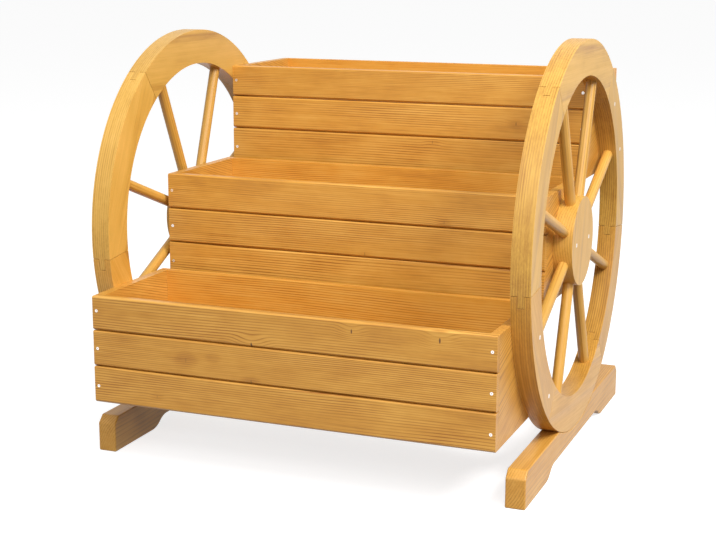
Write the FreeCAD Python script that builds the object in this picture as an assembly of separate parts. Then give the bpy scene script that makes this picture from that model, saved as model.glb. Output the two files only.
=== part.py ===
import FreeCAD, Part
import math
import os

# Three-tier flower cart stand: three slatted wooden planter boxes, stepped upwards to the back,
# held between two wooden wagon wheels that stand on shaped feet.
# Millimetres. X runs from wheel to wheel, -Y is the front, Z is up.
# The origin is on the floor, under the middle of the row of boxes.

Vector = FreeCAD.Vector

# ---------- sizes of the planter boxes ----------
box_length = 548.0              # between the two wheels
box_depth = 191.0               # front face to back face
box_gap = 18.0                  # from one box's back to the next one's front
lower_box_rise = -65.5          # top edge above the rim's centre
middle_box_rise = 66.5
upper_box_rise = 203.5
lower_top_board_height = 45.5   # the top board is ripped to suit each box
middle_top_board_height = 49.0
upper_top_board_height = 45.5
middle_board_height = 48.0
bottom_board_height = 49.0
board_gap = 0.4                 # hairline between two boards of a wall
board_thickness = 12.0          # front and back boards
board_bevel = 1.5               # on the long outer edges of each board
panel_thickness = 12.0          # side panels
cleat_width = 20.0
cleat_height = 18.0
cleat_lift = 4.0                # cleat above the box's lower edge
cleat_end_clearance = 1.0
slat_thickness = 10.0
slat_width = 52.0
slat_count = 3
slat_edge_clearance = 1.0       # between the outer slats and the walls
slat_end_clearance = 0.6

# ---------- sizes of the wheels ----------
wheel_thickness = 26.0
wheel_centre_y = 4.5
rim_outer_radius = 262.5
rim_width = 48.0                # from the tread to the inner face
hub_drop = 5.5                  # hub centre below the rim's centre
hub_radius = 60.0
spoke_diameter = 14.5
spoke_count = 8
first_spoke_angle = 25.0        # degrees from +Y towards +Z
spoke_seat_depth = 12.0         # in the hub and in the rim alike
socket_sides = 8                # flats round each spoke's socket
socket_wall_clearance = 0.15
socket_end_clearance = 0.3

# Half the rim's joints, in degrees to each side of its top; the other half mirrors them.
upper_joint_angle = 36.0
side_joint_angle = 96.0
lower_joint_angle = 144.0
joint_gap = 0.2                 # hairline in each joint, along the tread
tongue_length = 15.0            # along the tread, out of its felloe's end
tongue_thickness = 8.6
tongue_side_clearance = 0.1
tongue_end_clearance = 0.3      # along the tread

# ---------- sizes of the feet ----------
foot_length = 525.0
foot_height = 49.0
foot_end_chamfer = 10.0
foot_edge_bevel = 2.0           # on the upright edges at each end
pad_length = 102.0              # flat pad at each end of a foot
arch_height = 14.0
arch_run = 42.0                 # length of the curve from a pad up to the arch
rim_seat_depth = 17.5           # how far the rim is let into the foot's top
rim_seat_clearance = 0.2

# ---------- sizes of the fasteners ----------
screw_sides = 5                 # flats round each small screw
screw_hole_clearance = 0.1
board_screw_head_radius = 3.0
board_screw_shank_radius = 1.5
board_screw_length = 28.0
board_screw_inset = 6.0         # from the end of the board
board_screw_pitch = 50.7
lower_screw_drop = 70.1         # middle screw below the top of its box
middle_screw_drop = 74.2
upper_screw_drop = 72.4
wheel_screw_head_radius = 3.5
wheel_screw_shank_radius = 2.0
wheel_screw_length = 36.0
hub_screw_offset = 35.0         # to the front and back of the hub's centre
foot_screw_length = 40.0
foot_screw_offset = 40.0        # to the front and back of the wheel's centre

# Screws through the rim into the lower and upper boxes: below the top of the box, and in from the tread.
lower_rim_screw_high_drop = 21.5
lower_rim_screw_high_inset = 31.5
lower_rim_screw_low_drop = 111.5
lower_rim_screw_low_inset = 24.0
upper_rim_screw_high_drop = 41.5
upper_rim_screw_high_inset = 26.5
upper_rim_screw_low_drop = 111.5
upper_rim_screw_low_inset = 24.0

# ---------- places that follow from the sizes ----------
half_length = box_length / 2
box_pitch = box_depth + box_gap
row_depth = 2 * box_pitch + box_depth
first_front = -row_depth / 2
rim_inner_radius = rim_outer_radius - rim_width
rim_centre_height = foot_height - rim_seat_depth + rim_outer_radius
hub_centre_height = rim_centre_height - hub_drop
lower_box_top = rim_centre_height + lower_box_rise
middle_box_top = rim_centre_height + middle_box_rise
upper_box_top = rim_centre_height + upper_box_rise
foot_front = wheel_centre_y - foot_length / 2
full_turn = 2 * math.pi
x_axis = Vector(1, 0, 0)
rim_centre = Vector(0, wheel_centre_y, rim_centre_height)
hub_centre = Vector(0, wheel_centre_y, hub_centre_height)


# ---------- small helpers ----------
def block(x_range, y_range, z_range):
    """A plain rectangular block between the given limits."""
    size = [x_range[1] - x_range[0], y_range[1] - y_range[0], z_range[1] - z_range[0]]
    return Part.makeBox(size[0], size[1], size[2], Vector(x_range[0], y_range[0], z_range[0]))


def polygon_face(points):
    """A flat face with straight edges through the points."""
    return Part.Face(Part.makePolygon(points + [points[0]]))


def ring_of_points(radius, height, sides):
    """The corners of a regular section across +Z, at one height."""
    step = full_turn / sides
    turns = [step * (index + 0.5) for index in range(sides)]
    return [Vector(radius * math.cos(turn), radius * math.sin(turn), height) for turn in turns]


def flat_sided_rod(stations, sides):
    """A closed rod along +Z with flat sides, through each (radius, height)."""
    rings = [ring_of_points(radius, height, sides) for radius, height in stations]
    faces = [polygon_face(rings[0]), polygon_face(rings[-1])]
    for low, high in zip(rings, rings[1:]):
        for index in range(sides):
            following = (index + 1) % sides
            faces.append(polygon_face([low[index], low[following], high[following], high[index]]))
    return Part.makeSolid(Part.makeShell(faces))


def screw_body(head_radius, shank_radius, length):
    """A countersunk screw that points along +Z, with its flush head at the origin."""
    head_height = head_radius - shank_radius
    stations = [(head_radius, 0), (shank_radius, head_height), (shank_radius, length)]
    return flat_sided_rod(stations, screw_sides)


def aimed(shape, point, direction):
    """A copy of a shape modelled along +Z, turned to the direction and moved to the point."""
    turn = FreeCAD.Rotation(Vector(0, 0, 1), direction)
    return shape.transformed(FreeCAD.Placement(point, turn).toMatrix(), True)


def screw_set(seats, head_radius, shank_radius, length):
    """Screws and the hole tools that fit them, at each (point, direction)."""
    screws = []
    holes = []
    body = screw_body(head_radius, shank_radius, length)
    hole = screw_body(
        head_radius + screw_hole_clearance,
        shank_radius + screw_hole_clearance,
        length + screw_hole_clearance,
    )
    for point, direction in seats:
        screws.append(aimed(body, point, direction))
        holes.append(aimed(hole, point, direction))
    return screws, holes


def drilled(shape, holes):
    """The shape with every hole that reaches into it cut out."""
    near = [hole for hole in holes if hole.BoundBox.intersect(shape.BoundBox)]
    if not near:
        return shape
    return shape.cut(Part.makeCompound(near))


parts = {}


# ---------- planter boxes ----------
def wall_board(outer_y, inner_y, z_range):
    """A board along X with its two long outer edges bevelled."""
    bevel = math.copysign(board_bevel, inner_y - outer_y)
    low, high = z_range
    outline = [
        Vector(-half_length, outer_y + bevel, low),
        Vector(-half_length, inner_y, low),
        Vector(-half_length, inner_y, high),
        Vector(-half_length, outer_y + bevel, high),
        Vector(-half_length, outer_y, high - board_bevel),
        Vector(-half_length, outer_y, low + board_bevel),
    ]
    return polygon_face(outline).extrude(x_axis * box_length)


def board_levels(top, top_board_height):
    """The (name, low, high) of the three boards of a wall, from the top down."""
    levels = []
    high = top
    heights = (("top", top_board_height), ("middle", middle_board_height), ("bottom", bottom_board_height))
    for name, height in heights:
        levels.append((name, high - height, high))
        high -= height + board_gap
    return levels


def board_screw_seats(face_y, inward, top, drop):
    """Three screws up each end of a wall."""
    seats = []
    for side in (-1, 1):
        for step in (-1, 0, 1):
            height = top - drop - step * board_screw_pitch
            point = Vector(side * (half_length - board_screw_inset), face_y, height)
            seats.append((point, Vector(0, inward, 0)))
    return seats


def make_box(name, front_y, top, top_board_height, drop, wheel_holes):
    """One planter box; returns its front screws and its back screws."""
    back_y = front_y + box_depth
    levels = board_levels(top, top_board_height)
    bottom = levels[-1][1]
    inner_front = front_y + board_thickness
    inner_back = back_y - board_thickness
    inner_x = half_length - panel_thickness

    front_seats = board_screw_seats(front_y, 1, top, drop)
    back_seats = board_screw_seats(back_y, -1, top, drop)
    sizes = (board_screw_head_radius, board_screw_shank_radius, board_screw_length)
    front_screws, front_holes = screw_set(front_seats, *sizes)
    back_screws, back_holes = screw_set(back_seats, *sizes)

    back_boards = []
    for board_name, low, high in levels:
        front_board = wall_board(front_y, inner_front, (low, high))
        parts[name + "_front_board_" + board_name] = drilled(front_board, front_holes)
        back_board = wall_board(back_y, inner_back, (low, high))
        back_boards.append(drilled(back_board, back_holes))
    parts[name + "_back_boards"] = Part.makeCompound(back_boards)

    for side_name, side in (("left", -1), ("right", 1)):
        x_range = sorted((side * inner_x, side * half_length))
        panel = block(x_range, (inner_front, inner_back), (bottom, top))
        panel = drilled(panel, front_holes + back_holes + wheel_holes)
        parts[name + "_side_panel_" + side_name] = panel

    cleat_low = bottom + cleat_lift
    cleat_high = cleat_low + cleat_height
    cleat_y = (inner_front + cleat_end_clearance, inner_back - cleat_end_clearance)
    cleats = []
    for side in (-1, 1):
        x_range = sorted((side * inner_x, side * (inner_x - cleat_width)))
        cleats.append(block(x_range, cleat_y, (cleat_low, cleat_high)))
    parts[name + "_cleats"] = Part.makeCompound(cleats)

    slat_x = (slat_end_clearance - inner_x, inner_x - slat_end_clearance)
    first_slat = inner_front + slat_edge_clearance
    last_slat = inner_back - slat_edge_clearance - slat_width
    slat_step = (last_slat - first_slat) / (slat_count - 1)
    slats = []
    for index in range(slat_count):
        low_y = first_slat + index * slat_step
        slats.append(block(slat_x, (low_y, low_y + slat_width), (cleat_high, cleat_high + slat_thickness)))
    parts[name + "_floor_slats"] = Part.makeCompound(slats)
    return front_screws + back_screws


# ---------- wheels ----------
def rim_section(x_range):
    """The rim's section at its top, in the XZ plane through the rim's centre."""
    low_x, high_x = x_range
    inner = rim_centre_height + rim_inner_radius
    outer = rim_centre_height + rim_outer_radius
    corners = [(low_x, inner), (high_x, inner), (high_x, outer), (low_x, outer)]
    return polygon_face([Vector(x, wheel_centre_y, z) for x, z in corners])


def rim_sweep(section, start, end):
    """Sweep a section about the rim's axis; the angles run from the rim's top towards the front."""
    face = section.copy()
    face.rotate(rim_centre, x_axis, start)
    return face.revolve(rim_centre, x_axis, end - start)


def tread_angle(length):
    """The angle in degrees that a length along the tread takes up."""
    return math.degrees(length / rim_outer_radius)


def felloe(start, end, start_tongue, end_tongue, x_range):
    """One curved piece of the rim, with a tongue or a slot for one at each end."""
    low_x, high_x = x_range
    middle = (low_x + high_x) / 2
    start_face = start + tread_angle(joint_gap) / 2
    end_face = end - tread_angle(joint_gap) / 2
    body = rim_sweep(rim_section(x_range), start_face, end_face)
    half_tongue = tongue_thickness / 2
    half_slot = half_tongue + tongue_side_clearance
    tongue_section = rim_section((middle - half_tongue, middle + half_tongue))
    slot_section = rim_section((middle - half_slot, middle + half_slot))
    tongue = tread_angle(tongue_length)
    reach = tongue + tread_angle(tongue_end_clearance)
    if start_tongue:
        body = body.fuse(rim_sweep(tongue_section, start - tongue, start_face))
    else:
        body = body.cut(rim_sweep(slot_section, start, start + reach))
    if end_tongue:
        body = body.fuse(rim_sweep(tongue_section, end_face, end + tongue))
    else:
        body = body.cut(rim_sweep(slot_section, end - reach, end))
    return body.removeSplitter()


def spoke_direction(index):
    """Unit vector along a spoke, outwards from the hub."""
    angle = math.radians(first_spoke_angle) + index * full_turn / spoke_count
    return Vector(0, math.cos(angle), math.sin(angle))


def distance_to_rim(direction):
    """From the hub's centre along a spoke to the rim's inner face."""
    # The hub lies below the rim's centre, so the spokes are not all of one length.
    along = hub_drop * direction.z
    return along + math.sqrt(along ** 2 + rim_inner_radius ** 2 - hub_drop ** 2)


def spoke_rod(start, end, direction, middle):
    """A spoke: a round dowel on a line through the hub's centre, in the wheel's middle plane."""
    base = hub_centre + Vector(middle, 0, 0) + direction * start
    return Part.makeCylinder(spoke_diameter / 2, end - start, base, direction)


def spoke_socket(start, end, direction, middle):
    """The tool that cuts a spoke's seats in the hub and in the rim; its flats clear the dowel."""
    flat_radius = spoke_diameter / 2 + socket_wall_clearance
    corner_radius = flat_radius / math.cos(math.pi / socket_sides)
    low = start - socket_end_clearance
    high = end + socket_end_clearance
    tool = flat_sided_rod([(corner_radius, low), (corner_radius, high)], socket_sides)
    return aimed(tool, hub_centre + Vector(middle, 0, 0), direction)


def make_hub(middle):
    """The hub disc, as thick as the rim."""
    base = hub_centre + Vector(middle - wheel_thickness / 2, 0, 0)
    return Part.makeCylinder(hub_radius, wheel_thickness, base, x_axis)


def curve_up(start_y, end_y, x):
    """The S of two equal arcs that joins a pad at floor level to the arch."""
    half_run = (end_y - start_y) / 2
    half_rise = arch_height / 2
    radius = (half_run ** 2 + half_rise ** 2) / (2 * half_rise)
    half_turn = math.asin(abs(half_run) / radius) / 2
    side = math.copysign(radius * math.sin(half_turn), half_run)
    rise = radius * (1 - math.cos(half_turn))
    knee = Vector(x, start_y + half_run, half_rise)
    low = Part.Arc(Vector(x, start_y, 0), Vector(x, start_y + side, rise), knee)
    high = Part.Arc(knee, Vector(x, end_y - side, arch_height - rise), Vector(x, end_y, arch_height))
    return low.toShape(), high.toShape()


def make_foot(x_range):
    """A foot: flat pads, an arch between them, chamfered ends and a seat for the rim."""
    x = x_range[0]
    front = foot_front
    back = front + foot_length
    front_pad_end = front + pad_length
    back_pad_end = back - pad_length
    front_arch = front_pad_end + arch_run
    back_arch = back_pad_end - arch_run
    shoulder = foot_height - foot_end_chamfer
    upper_outline = [
        Vector(x, back_pad_end, 0),
        Vector(x, back, 0),
        Vector(x, back, shoulder),
        Vector(x, back - foot_end_chamfer, foot_height),
        Vector(x, front + foot_end_chamfer, foot_height),
        Vector(x, front, shoulder),
        Vector(x, front, 0),
        Vector(x, front_pad_end, 0),
    ]
    edges = [Part.makeLine(a, b) for a, b in zip(upper_outline, upper_outline[1:])]
    edges += curve_up(front_pad_end, front_arch, x)
    edges.append(Part.makeLine(Vector(x, front_arch, arch_height), Vector(x, back_arch, arch_height)))
    edges += curve_up(back_pad_end, back_arch, x)
    outline = Part.Wire(Part.__sortEdges__(edges))
    foot = Part.Face(outline).extrude(x_axis * wheel_thickness)
    upright = [edge for edge in foot.Edges if is_upright_at_end(edge, front, back)]
    foot = foot.makeChamfer(foot_edge_bevel, upright)
    seat_start = rim_centre + x_axis * x
    seat = Part.makeCylinder(rim_outer_radius + rim_seat_clearance, wheel_thickness, seat_start, x_axis)
    return foot.cut(seat)


def is_upright_at_end(edge, front, back):
    """True for the upright edges at the two ends of a foot."""
    middle = edge.CenterOfMass
    upright = edge.BoundBox.ZLength > edge.BoundBox.XLength + edge.BoundBox.YLength
    return upright and (middle.y < front + foot_edge_bevel or middle.y > back - foot_edge_bevel)


def rim_screw_place(box_top, drop, inset, side):
    """The (y, z) of a screw through the rim; side is -1 at the front and 1 at the back."""
    height = box_top - drop
    radius = rim_outer_radius - inset
    offset = math.sqrt(radius ** 2 - (height - rim_centre_height) ** 2)
    return wheel_centre_y + side * offset, height


def wheel_screw_places():
    """The (y, z) of each screw that goes through a wheel into a box."""
    return [
        rim_screw_place(lower_box_top, lower_rim_screw_high_drop, lower_rim_screw_high_inset, -1),
        rim_screw_place(lower_box_top, lower_rim_screw_low_drop, lower_rim_screw_low_inset, -1),
        rim_screw_place(upper_box_top, upper_rim_screw_high_drop, upper_rim_screw_high_inset, 1),
        rim_screw_place(upper_box_top, upper_rim_screw_low_drop, upper_rim_screw_low_inset, 1),
        (wheel_centre_y - hub_screw_offset, hub_centre_height),
        (wheel_centre_y + hub_screw_offset, hub_centre_height),
    ]


def wheel_screws(side):
    """The screws of one wheel, from its outer face into the boxes."""
    face_x = side * (half_length + wheel_thickness)
    seats = [(Vector(face_x, y, z), Vector(-side, 0, 0)) for y, z in wheel_screw_places()]
    return screw_set(seats, wheel_screw_head_radius, wheel_screw_shank_radius, wheel_screw_length)


def foot_screws(side):
    """The screws that hold the rim in a foot, driven upwards from under the arch."""
    middle = side * (half_length + wheel_thickness / 2)
    seats = []
    for offset in (-foot_screw_offset, foot_screw_offset):
        seats.append((Vector(middle, wheel_centre_y + offset, arch_height), Vector(0, 0, 1)))
    return screw_set(seats, wheel_screw_head_radius, wheel_screw_shank_radius, foot_screw_length)


def rim_layout():
    """Name, start, end, and whether there is a tongue at the start and at the end of each felloe."""
    upper, sides, lower = upper_joint_angle, side_joint_angle, lower_joint_angle
    return [
        ("top", -upper, upper, True, True),
        ("upper_front", upper, sides, False, True),
        ("lower_front", sides, lower, False, False),
        ("bottom", lower, math.degrees(full_turn) - lower, True, True),
        ("lower_back", -lower, -sides, False, False),
        ("upper_back", -sides, -upper, True, False),
    ]


def make_wheel(name, side, holes, bottom_holes):
    """One wagon wheel on its foot."""
    x_range = sorted((side * half_length, side * (half_length + wheel_thickness)))
    middle = sum(x_range) / 2
    start = hub_radius - spoke_seat_depth
    sockets = []
    for index in range(spoke_count):
        direction = spoke_direction(index)
        end = distance_to_rim(direction) + spoke_seat_depth
        parts[name + "_spoke_" + str(index + 1)] = spoke_rod(start, end, direction, middle)
        sockets.append(spoke_socket(start, end, direction, middle))
    for felloe_name, low, high, start_tongue, end_tongue in rim_layout():
        piece = felloe(low, high, start_tongue, end_tongue, x_range)
        piece = drilled(piece, sockets + holes + bottom_holes)
        parts[name + "_felloe_" + felloe_name] = piece
    parts[name + "_hub"] = drilled(make_hub(middle), sockets + holes)
    parts[name + "_foot"] = drilled(make_foot(x_range), bottom_holes)


# ---------- assembly ----------
left_screws, left_holes = wheel_screws(-1)
right_screws, right_holes = wheel_screws(1)
left_foot_screws, left_foot_holes = foot_screws(-1)
right_foot_screws, right_foot_holes = foot_screws(1)
all_wheel_holes = left_holes + right_holes

boxes = [
    ("lower_box", lower_box_top, lower_top_board_height, lower_screw_drop),
    ("middle_box", middle_box_top, middle_top_board_height, middle_screw_drop),
    ("upper_box", upper_box_top, upper_top_board_height, upper_screw_drop),
]
board_screws = []
for index, (box_name, top, top_board_height, drop) in enumerate(boxes):
    front_y = first_front + index * box_pitch
    board_screws += make_box(box_name, front_y, top, top_board_height, drop, all_wheel_holes)

make_wheel("left_wheel", -1, left_holes, left_foot_holes)
make_wheel("right_wheel", 1, right_holes, right_foot_holes)
parts["board_screws"] = Part.makeCompound(board_screws)
parts["wheel_screws"] = Part.makeCompound(left_screws + right_screws)
parts["foot_screws"] = Part.makeCompound(left_foot_screws + right_foot_screws)

os.makedirs("parts", exist_ok=True)
for part_name, shape in parts.items():
    shape.exportStep("parts/" + part_name + ".step")
print(len(parts), "parts")
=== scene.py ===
import logging
import math
from dataclasses import dataclass, field
from enum import Enum

import bmesh
import bpy
from mathutils import Matrix, Vector


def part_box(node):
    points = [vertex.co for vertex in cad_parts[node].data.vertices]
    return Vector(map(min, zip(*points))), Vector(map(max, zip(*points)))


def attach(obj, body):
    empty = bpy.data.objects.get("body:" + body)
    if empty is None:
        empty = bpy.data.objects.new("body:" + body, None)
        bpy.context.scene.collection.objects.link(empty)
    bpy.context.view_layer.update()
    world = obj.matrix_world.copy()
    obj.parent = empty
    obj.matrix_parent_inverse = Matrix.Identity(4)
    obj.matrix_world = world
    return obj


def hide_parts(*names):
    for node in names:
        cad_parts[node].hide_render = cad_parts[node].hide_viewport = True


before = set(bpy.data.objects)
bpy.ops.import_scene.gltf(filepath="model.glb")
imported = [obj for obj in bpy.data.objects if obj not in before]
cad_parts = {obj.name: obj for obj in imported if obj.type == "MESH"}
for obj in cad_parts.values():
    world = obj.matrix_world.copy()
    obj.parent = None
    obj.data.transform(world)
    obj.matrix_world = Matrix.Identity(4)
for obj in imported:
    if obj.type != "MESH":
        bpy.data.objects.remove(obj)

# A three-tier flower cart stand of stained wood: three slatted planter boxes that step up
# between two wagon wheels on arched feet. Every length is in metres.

Colour = tuple[float, float, float]
Point = tuple[float, float, float]
Socket = bpy.types.NodeSocket
BMesh = bmesh.types.BMesh

MM = 0.001
ROOT = "root"
WHITE = (1.0, 1.0, 1.0, 1.0)
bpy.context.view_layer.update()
LOG = logging.getLogger("flower_cart")

# How each pattern of the grain is stretched: cells per metre along, across and through a piece.
SLOW_DRIFT = (2.4, 15.0, 15.0)
QUICK_DRIFT = (10.0, 80.0, 80.0)
UNEVEN_YEARS = (1.5, 60.0, 60.0)
FIBRES = (13.0, 600.0, 600.0)
STREAKS = (6.0, 150.0, 150.0)
CLOUDS = (13.0, 27.0, 27.0)
FADING = (3.0, 26.0, 26.0)
LAYERS = (5.0, 16.0, 430.0)
TURNING_MARKS = (900.0, 900.0, 900.0)

# One year's growth, from its pale early wood to its dark late wood: place and darkness.
RING_SHADES = ((0.0, 0.1), (0.50, 0.1), (0.76, 0.75), (0.86, 1.0), (0.97, 0.1))

# How far a knot swells the rings, tints the wood and is dark itself: the distance at which
# that ends and the one at which it is whole, in knot radii, and how strongly the grain's
# own direction counts.
KNOT_SWELL = (5.0, 0.0, 0.55)
KNOT_HALO = (3.6, 0.5, 0.6)
KNOT_CORE = (1.1, 0.5, 3.2)

# How much the rings wander and how wide they are, taken in turn by the boards of a box.
BOARD_WAVES = (1.3, 0.7, 1.0, 1.6)
BOARD_PITCHES = (1.0, 1.15, 0.8)

# The screws in the walls: below each box's top, from each other and from the boards' ends.
WALL_SCREW_DROPS = {"lower_box": 70.1 * MM, "middle_box": 74.2 * MM, "upper_box": 72.4 * MM}
WALL_SCREW_STEP = 50.7 * MM
WALL_SCREW_INSET = 6.0 * MM

# The screws through a rim: which side of the hub, the box that each holds, how far it sits
# below that box's top and how far in from the tread.
RIM_SCREWS = (
    (-1, "lower_box", 21.5 * MM, 31.5 * MM),
    (-1, "lower_box", 111.5 * MM, 24.0 * MM),
    (1, "upper_box", 41.5 * MM, 26.5 * MM),
    (1, "upper_box", 111.5 * MM, 24.0 * MM),
)
HUB_SCREW_REACH = 35.0 * MM

# An edge is sharp where its faces meet at more than this, and is shaded as sharp past the other.
SHARP_TURN = math.radians(30)
SHADED_TURN = math.radians(40)

# Points nearer than this are one point, and a corner this near a cut lies on it.
SAME_POINT = 1e-6
ON_CUT = 1e-5


class Sawing(Enum):
    """How far a board lay from the heart of the tree, which sets how its rings run."""

    HEART = 0.022
    FLAT = 0.050
    RIFT = 0.110
    SLAB = 0.450


@dataclass(frozen=True)
class Knot:
    """A knot on a board: its place along and across the grain from the board's middle."""

    along: float
    across: float
    radius: float = 3.4 * MM
    darkness: float = 0.95
    halo: float = -0.12


@dataclass(frozen=True)
class Grain:
    """How the grain of one piece lies: its middle, its direction and the way its face looks."""

    middle: Point
    along: Point
    face: Point
    sawing: Sawing = Sawing.RIFT
    lean: float = 0.4
    shift: float = 0.0
    tone: float = 1.0
    wave: float = 1.0
    flutter: float = 1.0
    pitch: float = 1.0
    layers: float = 0.0
    # Painted shade over the middle of the piece's thickness, which darkens a wheel rim's tread and inner face
    # as if they lay in shade.
    core: float = 0.0
    knots: tuple[Knot, ...] = ()

    def turn(self) -> Matrix:
        """The rotation from object space to the piece's own grain space.

        Returns:
            The matrix whose rows lie along, across and through the piece.
        """
        along = Vector(self.along).normalized()
        face = Vector(self.face)
        face = (face - along * face.dot(along)).normalized()
        return Matrix((along, face.cross(along), face))


class NodePad:
    """Adds and links the nodes of one material or of the world."""

    def __init__(self, owner: bpy.types.ID) -> None:
        """Start with an empty node tree.

        Args:
            owner: The material or world that the nodes belong to.
        """
        owner.use_nodes = True
        self.owner = owner
        self.tree = owner.node_tree
        self.tree.nodes.clear()

    def add(self, kind: str, settings: dict | None = None, inputs: dict | None = None) -> bpy.types.Node:
        """Add one node.

        Args:
            kind: The node's type name.
            settings: Attributes to set on the node.
            inputs: Values or output sockets for its inputs, by name or index.

        Returns:
            The new node.
        """
        node = self.tree.nodes.new(kind)
        for key, value in (settings or {}).items():
            setattr(node, key, value)
        for key, value in (inputs or {}).items():
            if isinstance(value, Socket):
                self.tree.links.new(value, node.inputs[key])
            else:
                node.inputs[key].default_value = value
        return node

    def math(self, operation: str, first: object, second: object = 0.0, third: object = 0.0) -> Socket:
        """Add a Math node.

        Args:
            operation: The operation's name.
            first: The first value or socket.
            second: The second value or socket.
            third: The third value or socket.

        Returns:
            The node's output socket.
        """
        node = self.add("ShaderNodeMath", {"operation": operation}, {0: first, 1: second, 2: third})
        return node.outputs[0]

    def vector(self, operation: str, first: object, second: object = (0.0, 0.0, 0.0)) -> bpy.types.Node:
        """Add a Vector Math node of two inputs and return it."""
        return self.add("ShaderNodeVectorMath", {"operation": operation}, {0: first, 1: second})

    def noise(self, place: Socket, stretch: Point, detail: float = 2.0, rough: float = 0.5) -> Socket:
        """Add a noise pattern stretched along the axes of the grain.

        Args:
            place: The coordinates that it reads.
            stretch: Cells per metre along, across and through the piece.
            detail: Octaves of the pattern.
            rough: Strength of the finer octaves.

        Returns:
            The pattern's value, about 0 to 1.
        """
        spread = self.vector("MULTIPLY", place, stretch).outputs[0]
        node = self.add(
            "ShaderNodeTexNoise",
            {"noise_dimensions": "3D"},
            {"Vector": spread, "Scale": 1.0, "Detail": detail, "Roughness": rough},
        )
        return node.outputs["Fac"]

    def ramp(self, value: Socket, stops: list[tuple[float, Colour]]) -> Socket:
        """Add a colour ramp.

        Args:
            value: The value that it reads.
            stops: The place and colour of each stop.

        Returns:
            The ramp's colour socket.
        """
        node = self.add("ShaderNodeValToRGB", inputs={0: value})
        elements = node.color_ramp.elements
        while len(elements) < len(stops):
            elements.new(0.5)
        for element, (place, colour) in zip(elements, stops):
            element.position = place
            element.color = (*colour, 1.0)
        return node.outputs[0]

    def mix(self, amount: Socket, first: Socket, second: Colour) -> Socket:
        """Mix a plain colour into another.

        Args:
            amount: How much of the plain colour shows.
            first: The colour beneath.
            second: The plain colour.

        Returns:
            The mixed colour socket.
        """
        inputs = {0: amount, 6: first, 7: (*second, 1.0)}
        return self.add("ShaderNodeMix", {"data_type": "RGBA"}, inputs).outputs[2]

    def shown(self) -> Socket:
        """Find the rays that show a thing, as opposed to those that only carry its light.

        Returns:
            1 for camera, glossy and transmission rays and 0 for the others.
        """
        path = self.add("ShaderNodeLightPath")
        rays = self.math("MAXIMUM", path.outputs["Is Camera Ray"], path.outputs["Is Glossy Ray"])
        return self.math("MAXIMUM", rays, path.outputs["Is Transmission Ray"])


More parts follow.
